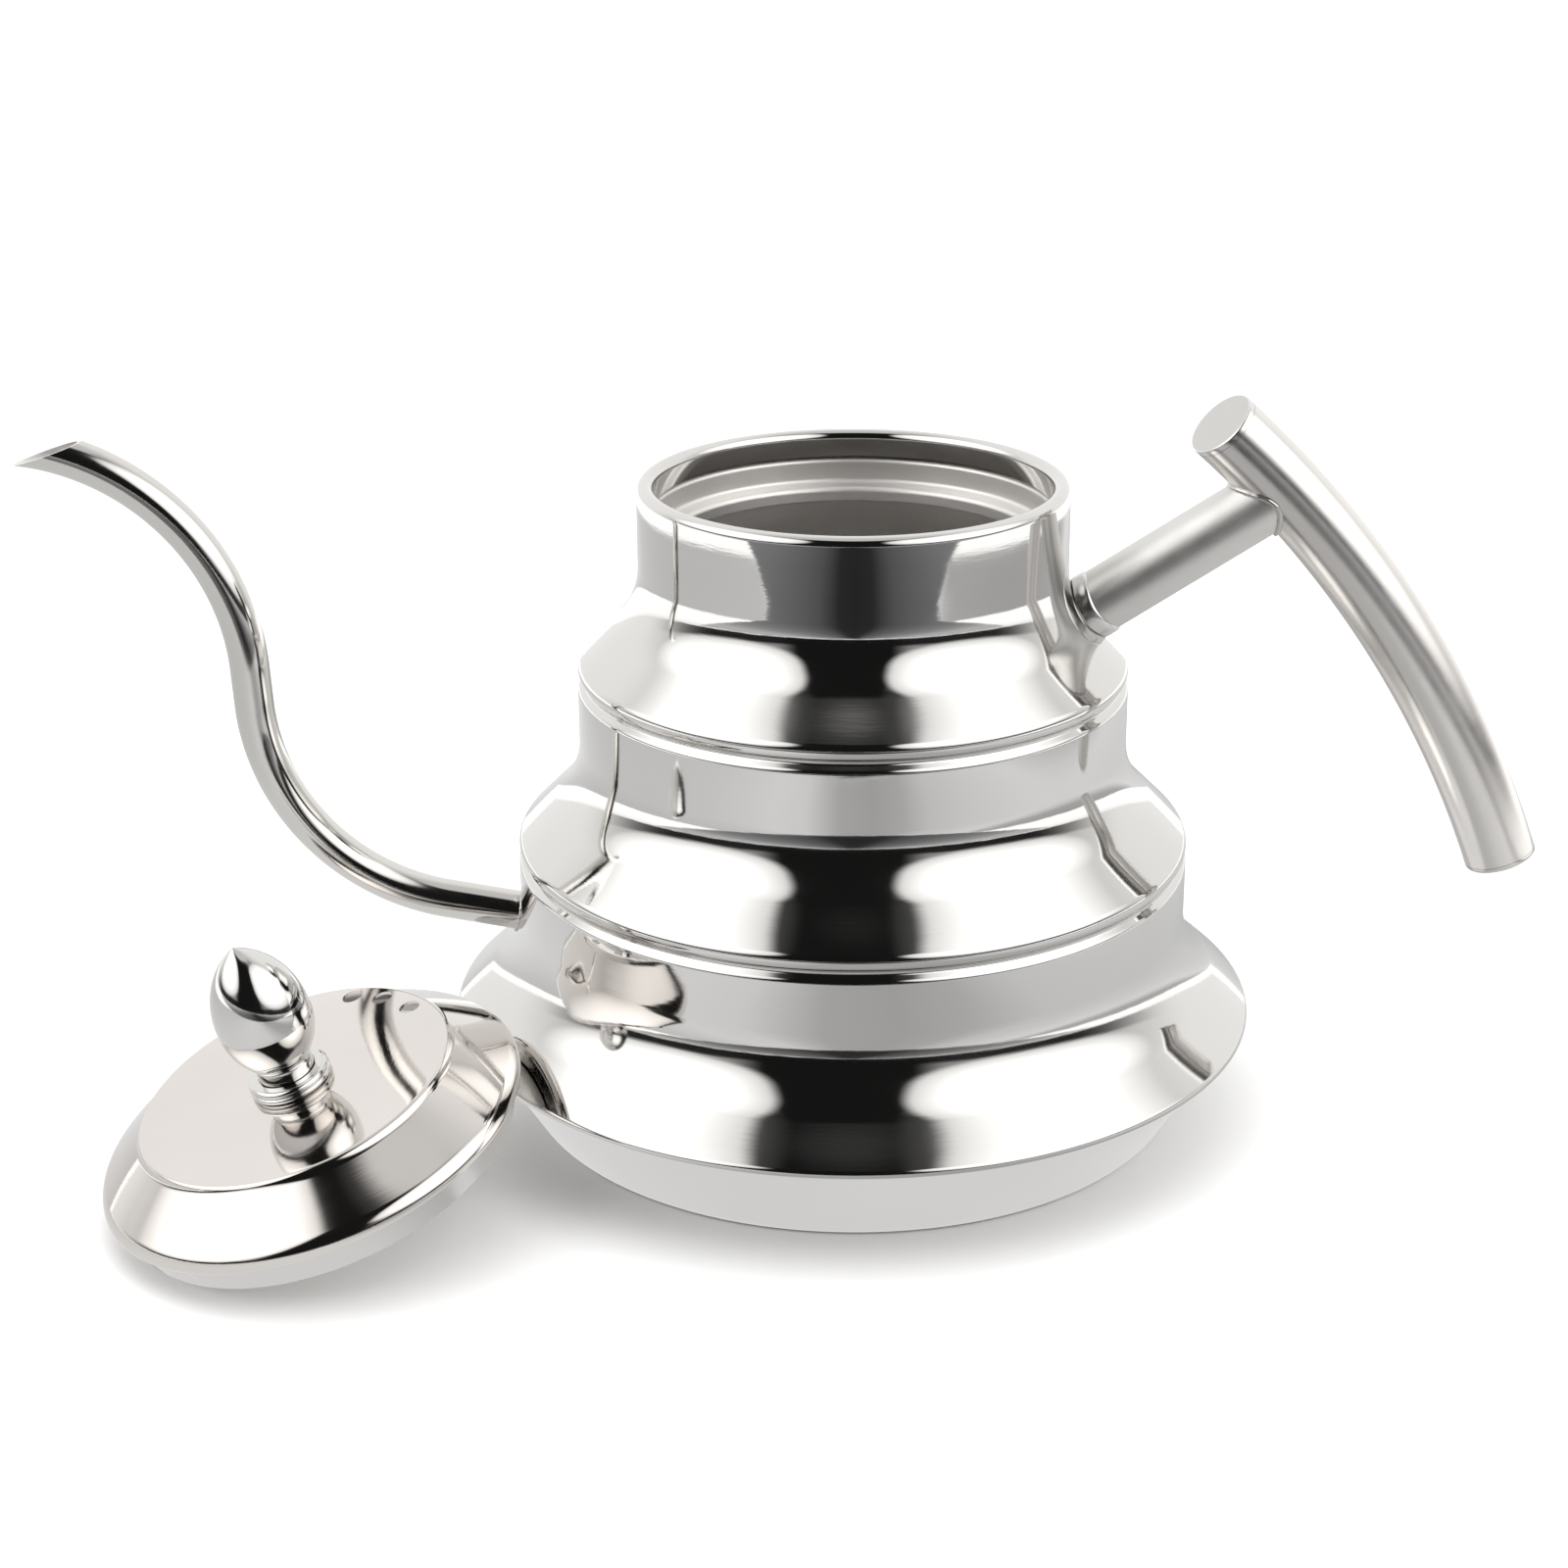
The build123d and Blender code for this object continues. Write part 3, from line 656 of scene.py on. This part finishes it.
finish_mesh("arm_tube", bm, [BLASTED], "kettle", replaces=("handle_arm",))

SR, SL = 6.5, 3.2
bm = bmesh.new()
st = [leave_body(p, SR) + 0.04 for p in AP]
sections = []
for off, r in ((0.0, SR - 0.25), (0.25, SR - 0.02), (0.6, SR), (1.4, SR), (2.3, SR), (2.75, SR - 0.06), (3.0, SR - 0.2), (3.14, SR - 0.42)):
    sections.append(ring_verts(bm, [arm_point(st[k] + off, AP[k], r) for k in range(NA)]))
for off, r in ((3.14, AOD / 2 - 1.0), (0.0, AOD / 2 - 1.0)):
    sections.append(ring_verts(bm, [arm_point(st[k] + off, AP[k], r) for k in range(NA)]))
skin(bm, sections, closed=True)
finish_mesh("saddle_ring", bm, [SATIN], "kettle", replaces=("handle_saddle",))

bead("arm_bead", [arm_point(meet_grip(p, AOD / 2 + 0.12, 0.12), p, AOD / 2 + 0.12) for p in AP], 0.5, ("arm_grip_weld",), seed=0.4, ripple=0.07)

# ------------------------------------------------------------------ lid
LID_AZ, LID_DIST, LID_TILT = math.radians(209.3), 110.3, math.radians(17.8)
SKIRT_R = 36.5
w = Vector((math.cos(LID_AZ + math.pi / 2), math.sin(LID_AZ + math.pi / 2), 0))
u = Vector((math.cos(LID_AZ), math.sin(LID_AZ), 0))
origin = u * LID_DIST + Vector((0, 0, SKIRT_R * math.sin(LID_TILT) + 0.05))
PLACE = Matrix.Translation(origin * MM) @ Matrix.Rotation(LID_TILT, 4, w)

TOP_H, DISC_R, RIM_R, RIM_H = 16.9, 29.4, 39.8, 5.4
lid = Track((0.0, TOP_H), -0.3)
lid.line(14.0)
lid.arc(420.0, -1.9)
lid.line(max(0.1, DISC_R - 0.8 - lid.p[0]))
lid.arc(1.0, -58.0)
lid.arc(3.0, 24.0)
sh, end_h, rim_roll = math.degrees(lid.h), -80.0, 1.2
need_r = RIM_R - rim_roll * (1 - math.cos(math.radians(90 + end_h))) - lid.p[0]
need_h = lid.p[1] - (RIM_H + rim_roll) - rim_roll * math.sin(math.radians(90 + end_h))
a0, a1 = math.radians(-sh), math.radians(-end_h)
m11, m12 = math.cos(a0), math.sin(a1) - math.sin(a0)
m21, m22 = math.sin(a0), math.cos(a0) - math.cos(a1)
det = m11 * m22 - m12 * m21
run = (need_r * m22 - need_h * m12) / det
roll = (need_h * m11 - need_r * m21) / det
lid.line(run)
lid.arc(roll, end_h - sh)
lid.arc(rim_roll, -(180 + end_h))
RIM_UNDER = lid.p[1]
lid.line(lid.p[0] - (SKIRT_R + 0.35))
a = lid.sample(0.0)
b = lid.sample(-LID_SHEET)
b[0] = (0.0, b[0][1])
bm = bmesh.new()
lathe(bm, a + b[::-1], n=288, index=[0] * len(a) + [1] * len(b))
cover = finish_mesh("lid_top", bm, [LID_STEEL, INTERIOR], "lid", matrix=PLACE, replaces=("lid_cover",))
for k, deg in enumerate((38.4, 56.6, 72.0)):
    # world direction turned back into the lid's own frame
    t = math.radians(deg)
    bpy.ops.mesh.primitive_cylinder_add(vertices=64, radius=1.95 * MM, depth=0.008,
                                        location=(26.0 * MM * math.cos(t), 26.0 * MM * math.sin(t), 16.3 * MM))
    cutter = bpy.context.object
    cutter.matrix_world = PLACE @ cutter.matrix_world
    mod = cover.modifiers.new("hole%d" % k, "BOOLEAN")
    mod.operation = "DIFFERENCE"
    mod.solver = "EXACT"
    mod.object = cutter
    bpy.context.view_layer.update()
    dg = bpy.context.evaluated_depsgraph_get()
    new = bpy.data.meshes.new_from_object(cover.evaluated_get(dg))
    cover.modifiers.clear()
    cover.data = new
    bpy.data.objects.remove(cutter)
cover.data.set_sharp_from_angle(angle=math.radians(30))

sk = Track((SKIRT_R, 0.0), 90)
sk.line(RIM_UNDER + LID_SHEET + 0.06 - 0.5)
sk.arc(0.5, -90)
sk.line(1.2)
outline, idx = sheet_outline(sk, LID_SHEET)
# the skirt is divided finely in height, so that its pressed dimples can be raised in it
fine = []
for (p, q) in zip(outline, outline[1:] + outline[:1]):
    n = max(1, math.ceil(math.dist(p, q) / 0.35)) if abs(p[0] - q[0]) < 0.01 and p[1] < 6.4 else 1
    fine += [(p[0] + (q[0] - p[0]) * i / n, p[1] + (q[1] - p[1]) * i / n) for i in range(n)]
bm = bmesh.new()
lathe(bm, fine, n=720)
for v in bm.verts:
    x, y, z = v.co / MM
    r = math.hypot(x, y)
    if z > 6.0:
        continue
    for deg in (240.0, 120.0, 1.5):
        t = math.radians(deg)
        da = (math.atan2(y, x) - t + math.pi) % (2 * math.pi) - math.pi
        dist = math.hypot(da * r, z - 3.0)
        if dist < 1.9 and r > SKIRT_R - 0.1:
            k = 0.3 * (0.5 + 0.5 * math.cos(math.pi * max(0.0, dist - 0.6) / 1.3)) if dist > 0.6 else 0.3
            s = (r + k) / r
            v.co.x *= s
            v.co.y *= s
finish_mesh("lid_collar", bm, [SATIN], "lid", matrix=PLACE, sharp=40, replaces=("lid_skirt",))


def arc3(p0, p1, p2, n=18):
    """Points on the arc through three (r, z) points."""
    ax, ay = p0; bx, by = p1; cx, cy = p2
    d = 2 * (ax * (by - cy) + bx * (cy - ay) + cx * (ay - by))
    ox = ((ax * ax + ay * ay) * (by - cy) + (bx * bx + by * by) * (cy - ay) + (cx * cx + cy * cy) * (ay - by)) / d
    oy = ((ax * ax + ay * ay) * (cx - bx) + (bx * bx + by * by) * (ax - cx) + (cx * cx + cy * cy) * (bx - ax)) / d
    r = math.hypot(ax - ox, ay - oy)
    t0, t1, t2 = (math.atan2(p[1] - oy, p[0] - ox) for p in (p0, p1, p2))
    def norm(t, base, sign):
        while sign * (t - base) < 0:
            t += sign * 2 * math.pi
        return t
    for sign in (1, -1):
        m, e = norm(t1, t0, sign), norm(t2, t0, sign)
        if abs(m - t0) < abs(e - t0) and abs(e - t0) < 2 * math.pi:
            return [(ox + r * math.cos(t0 + (e - t0) * i / n), oy + r * math.sin(t0 + (e - t0) * i / n)) for i in range(n + 1)]


def outline_of(points, n=18):
    out = [points[0]]
    for item in points[1:]:
        if isinstance(item[0], tuple):
            out += arc3(out[-1], item[0], item[1], n)[1:]
        else:
            out.append(item)
    return out


disc_top = TOP_H + 0.02
CT = 19.5
NECK = 5.2
collar = outline_of([
    (2.2, disc_top), (6.6, disc_top), ((7.35, disc_top + 0.25), (7.6, disc_top + 0.75)),
    ((7.4, disc_top + 1.15), (7.0, disc_top + 1.3)),
    ((7.35, disc_top + 1.5), (7.45, disc_top + 1.85)),
    ((7.2, CT - 0.25), (6.5, CT)), (NECK + 0.25, CT), (NECK + 0.25, CT - 0.8), (2.2, CT - 0.8)], 10)
bm = bmesh.new()
lathe(bm, collar, n=128)
finish_mesh("knob_rings", bm, [KNOB_STEEL], "lid", matrix=PLACE, sharp=40, replaces=("knob_collar",))
kb = CT - 0.78
acorn = outline_of([
    (0.0, 46.5), ((6.0, 40.9), (8.65, 30.6)), ((7.75, 26.2), (NECK + 0.35, 22.6)),
    ((NECK, 22.2), (NECK, 21.7)), (NECK, kb), (1.75, kb), (1.75, 33.0), (0.0, 33.9)], 48)
bm = bmesh.new()
lathe(bm, acorn, n=160)
finish_mesh("knob_acorn", bm, [KNOB_STEEL], "lid", matrix=PLACE, sharp=40, replaces=("knob",))

# CAD pieces that stay: small and plain, they only need their metal
for name, mat in (("knob_screw", CUT_EDGE), ("knob_washer", CUT_EDGE), ("skirt_weld_spots", WELD)):
    o = nodes[name]
    o.data.materials.clear()
    o.data.materials.append(mat)
    o.data.polygons.foreach_set("use_smooth", [True] * len(o.data.polygons))
    o.data.set_sharp_from_angle(angle=math.radians(30))


# ------------------------------------------------------------------ studio
def plain(name, colour, rough=0.9, strength=0.0):
    m, nt, bsdf = new_material(name)
    bsdf.inputs["Base Color"].default_value = (*colour, 1)
    bsdf.inputs["Roughness"].default_value = rough
    bsdf.inputs["Specular IOR Level"].default_value = 0.1
    if strength:
        bsdf.inputs["Emission Color"].default_value = (*colour, 1)
        bsdf.inputs["Emission Strength"].default_value = strength
        bsdf.inputs["Base Color"].default_value = (0, 0, 0, 1)
    return m


def quad(name, pts, mat):
    me = bpy.data.meshes.new(name)
    me.from_pydata([tuple(p) for p in pts], [], [tuple(range(len(pts)))])
    me.materials.append(mat)
    o = bpy.data.objects.new(name, me)
    bpy.context.scene.collection.objects.link(o)
    return o


FLOOR = plain("studio_floor", (0.93, 0.93, 0.925))
floor = quad("floor", [(-5, -5, 0), (5, -5, 0), (5, 5, 0), (-5, 5, 0)], FLOOR)

# white surround that only the camera sees, for low views
bm = bmesh.new()
bmesh.ops.create_icosphere(bm, subdivisions=4, radius=4.8)
me = bpy.data.meshes.new("surround")
bm.to_mesh(me)
bm.free()
me.materials.append(plain("surround_white", (1, 1, 1), strength=1.0))
surround = bpy.data.objects.new("surround", me)
bpy.context.scene.collection.objects.link(surround)
for attr in ("visible_diffuse", "visible_glossy", "visible_transmission", "visible_volume_scatter", "visible_shadow"):
    setattr(surround, attr, False)


def reflection_card(name, pts, value):
    """A glowing card that is only seen in reflections; what it shows there is a painted reflection."""
    o = quad(name, pts, plain(name + "_emission", (value, value, value), strength=1.0))
    o.visible_camera = False
    o.visible_diffuse = False
    o.visible_shadow = False
    o.visible_transmission = False
    return o


# painted reflection: a dark glowing card that only the steel sees, standing in for the table's end in front of the
# kettle and a darker room beyond it
front_card = reflection_card("painted_front_reflection", [(-3.0, -3.0, 0.001), (3.0, -3.0, 0.001), (3.0, -0.288, 0.001), (-3.0, -0.288, 0.001)], 0.16)
fm = front_card.data.materials[0]
fnt = fm.node_tree
fb = [n for n in fnt.nodes if n.type == "BSDF_PRINCIPLED"][0]
ftc = fnt.nodes.new("ShaderNodeTexCoord")
fsep = fnt.nodes.new("ShaderNodeSeparateXYZ")
fnt.links.new(ftc.outputs["Object"], fsep.inputs[0])
# the painted reflection is darkest in a stripe straight in front of the kettle and brightens to the sides
fabs = math_node(fnt, "ABSOLUTE", math_node(fnt, "ADD", fsep.outputs[0], -0.012))
framp = fnt.nodes.new("ShaderNodeValToRGB")
fel = framp.color_ramp.elements
fel[0].position = 0.0
fel[0].color = (0.015, 0.015, 0.018, 1)
fel[1].position = 1.0
fel[1].color = (0.55, 0.55, 0.55, 1)
for pos, v in ((0.06, 0.02), (0.13, 0.10), (0.30, 0.20), (0.60, 0.34)):
    e = fel.new(pos)
    e.color = (v, v, v * 1.03, 1)
fnt.links.new(fabs, framp.inputs[0])
fnt.links.new(framp.outputs[0], fb.inputs["Emission Color"])

# painted reflection of the table top round the kettle: a glowing card that only the steel sees, a little duller in the
# middle
def across(obj, stops):
    """Paints a card's glow by its position across the picture, -0.45 m to 0.45 m."""
    tree = obj.data.materials[0].node_tree
    shader = [n for n in tree.nodes if n.type == "BSDF_PRINCIPLED"][0]
    coord = tree.nodes.new("ShaderNodeTexCoord")
    parts = tree.nodes.new("ShaderNodeSeparateXYZ")
    tree.links.new(coord.outputs["Object"], parts.inputs[0])
    where = math_node(tree, "ADD", math_node(tree, "MULTIPLY", parts.outputs[0], 1 / 0.9), 0.5)
    ramp = tree.nodes.new("ShaderNodeValToRGB")
    e = ramp.color_ramp.elements
    for k, (x, v) in enumerate((stops[0], stops[-1])):
        e[k].position = x / 0.9 + 0.5
        e[k].color = (v, v, v, 1)
    for x, v in stops[1:-1]:
        n = e.new(x / 0.9 + 0.5)
        n.color = (v, v, v, 1)
    tree.links.new(where, ramp.inputs[0])
    tree.links.new(ramp.outputs[0], shader.inputs["Emission Color"])


def ring_card(name, r0, r1, z, glow=1.0):
    bm = bmesh.new()
    inner, outer = [], []
    for k in range(96):
        t = 2 * math.pi * k / 96
        inner.append(bm.verts.new((r0 * math.cos(t), r0 * math.sin(t), z)))
        outer.append(bm.verts.new((r1 * math.cos(t), max(-0.287, r1 * math.sin(t)), z)))
    for k in range(96):
        j = (k + 1) % 96
        bm.faces.new((inner[k], outer[k], outer[j], inner[j]))
    me = bpy.data.meshes.new(name)
    bm.to_mesh(me)
    bm.free()
    me.materials.append(plain(name + "_emission", (1, 1, 1), strength=glow))
    o = bpy.data.objects.new(name, me)
    bpy.context.scene.collection.objects.link(o)
    for attr in ("visible_camera", "visible_diffuse", "visible_shadow", "visible_transmission"):
        setattr(o, attr, False)
    return o


# painted reflection: a bright ring that only the steel sees, lighting the pan's reflection of the table next to the
# base, where the kettle's own shade falls
ring_card("painted_base_reflection", 0.060, 0.084, 0.0004, 0.84)
across(ring_card("painted_table_reflection", 0.084, 0.45, 0.0004),
       ((-0.45, 0.62), (-0.22, 0.72), (-0.12, 0.84), (-0.075, 0.80), (-0.02, 0.50), (0.035, 0.46), (0.08, 0.52),
        (0.12, 0.70), (0.24, 0.88), (0.31, 0.5), (0.45, 0.42)))

# overhead light for the white floor; it is too wide and dim to show as a highlight
sky = bpy.data.lights.new("overhead", "AREA")
sky.shape = "SQUARE"
sky.size = 4.0
sky.energy = 82.0
sky_o = bpy.data.objects.new("overhead", sky)
sky_o.location = (0, 0, 3.0)
bpy.context.scene.collection.objects.link(sky_o)
sky_o.visible_glossy = False
sky_o.visible_camera = False

# room light: soft boxes to both sides of the camera, a dark gap behind it
world = bpy.data.worlds.new("studio")
bpy.context.scene.world = world
world.use_nodes = True
nt = world.node_tree
for n in list(nt.nodes):
    nt.nodes.remove(n)
wout = nt.nodes.new("ShaderNodeOutputWorld")
bg = nt.nodes.new("ShaderNodeBackground")
nt.links.new(bg.outputs[0], wout.inputs[0])
tc = nt.nodes.new("ShaderNodeTexCoord")
sep = nt.nodes.new("ShaderNodeSeparateXYZ")
nt.links.new(tc.outputs["Generated"], sep.inputs[0])
X, Y, Z = sep.outputs
deg = 180 / math.pi
az = math_node(nt, "MULTIPLY", math_node(nt, "ARCTAN2", X, math_node(nt, "MULTIPLY", Y, -1.0)), deg)   # 0 toward the camera, + to the right
hor = math_node(nt, "SQRT", math_node(nt, "ADD", math_node(nt, "MULTIPLY", X, X), math_node(nt, "MULTIPLY", Y, Y)))
el = math_node(nt, "MULTIPLY", math_node(nt, "ARCTAN2", Z, hor), deg)


def step(value, lo, hi):
    n = nt.nodes.new("ShaderNodeMapRange")
    n.interpolation_type = "SMOOTHSTEP"
    n.inputs["From Min"].default_value = lo
    n.inputs["From Max"].default_value = hi
    n.inputs["To Min"].default_value = 0.0
    n.inputs["To Max"].default_value = 1.0
    nt.links.new(value, n.inputs["Value"])
    return n.outputs[0]


def band(value, a, b, soft):
    """1 between a and b, softened over soft at both ends."""
    up = step(value, a - soft / 2, a + soft / 2)
    down = step(value, b + soft / 2, b - soft / 2)
    dn = nt.nodes.new("ShaderNodeMapRange")
    return math_node(nt, "MULTIPLY", up, math_node(nt, "SUBTRACT", 1.0, step(value, b - soft / 2, b + soft / 2)))


def paint(base, mask, level):
    """base where mask is 0, level where it is 1."""
    keep = math_node(nt, "MULTIPLY", base, math_node(nt, "SUBTRACT", 1.0, mask))
    return math_node(nt, "ADD", keep, math_node(nt, "MULTIPLY", mask, level))


def ellipse(az0, el0, a, b, soft):
    """0 outside, rising to 1 inside an oval window; returns the mask and the distance from its centre."""
    u2 = math_node(nt, "DIVIDE", math_node(nt, "SUBTRACT", az, az0), a)
    v2 = math_node(nt, "DIVIDE", math_node(nt, "SUBTRACT", el, el0), b)
    p = 2.6
    d = math_node(nt, "POWER", math_node(nt, "ADD", math_node(nt, "POWER", math_node(nt, "ABSOLUTE", u2), p),
                                         math_node(nt, "POWER", math_node(nt, "ABSOLUTE", v2), p)), 1 / p)
    return math_node(nt, "SUBTRACT", 1.0, step(d, 1.0 - soft, 1.0 + soft)), d


val = math_node(nt, "ADD", 0.84, math_node(nt, "MULTIPLY", step(el, 40, 80), -0.12))      # walls and ceiling of the tent
val = paint(val, math_node(nt, "MULTIPLY", band(az, -96, 92, 40), band(el, -6, 72, 8)), 0.34)
val = paint(val, math_node(nt, "MULTIPLY", band(az, -50, 44, 24), band(el, 58, 72, 6)), 0.06)
val = paint(val, math_node(nt, "MULTIPLY", band(az, -98, 98, 50), band(el, -8, 7, 3)), 0.02)
val = paint(val, math_node(nt, "MULTIPLY", band(az, -34, 26, 14), band(el, -20, 68, 6)), 0.010)
for az0, aa in ((-72, 46), (66, 47)):
    mask, dist = ellipse(az0, 36, aa, 30, 0.07)
    glow = math_node(nt, "ADD", 2.3, math_node(nt, "MULTIPLY", math_node(nt, "POWER", dist, 2.0), -1.45))
    keep = math_node(nt, "MULTIPLY", val, math_node(nt, "SUBTRACT", 1.0, mask))
    val = math_node(nt, "ADD", keep, math_node(nt, "MULTIPLY", mask, glow))
# brighter walls to the sides and behind, which edge the body with light
val = paint(val, math_node(nt, "MULTIPLY", math_node(nt, "SUBTRACT", 1.0, band(az, -118, 118, 26)), band(el, -30, 62, 30)), 1.06)
nt.links.new(val, bg.inputs["Strength"])
bg.inputs["Color"].default_value = (1.0, 0.995, 0.985, 1)

# ------------------------------------------------------------------ camera
cam_data = bpy.data.cameras.new("camera")
cam_data.lens = 67.55
cam_data.sensor_width = 36.0
cam_data.sensor_fit = "HORIZONTAL"
cam_data.clip_start = 0.01
cam_data.clip_end = 50
cam = bpy.data.objects.new("camera", cam_data)
bpy.context.scene.collection.objects.link(cam)
yaw, pitch, roll = math.radians(-1.416), math.radians(20.742), math.radians(-0.286)
fwd = Vector((math.sin(yaw) * math.cos(pitch), math.cos(yaw) * math.cos(pitch), -math.sin(pitch)))
right0 = fwd.cross(Vector((0, 0, 1))).normalized()
up0 = right0.cross(fwd)
right = right0 * math.cos(roll) + up0 * math.sin(roll)
upv = up0 * math.cos(roll) - right0 * math.sin(roll)
R = Matrix((right, upv, -fwd)).transposed().to_4x4()
cam.matrix_world = Matrix.Translation(Vector((0, -0.53112, 0.26469))) @ R
bpy.context.scene.camera = cam
bpy.context.scene.view_settings.view_transform = "Standard"
bpy.context.scene.view_settings.look = "None"

bpy.context.view_layer.update()
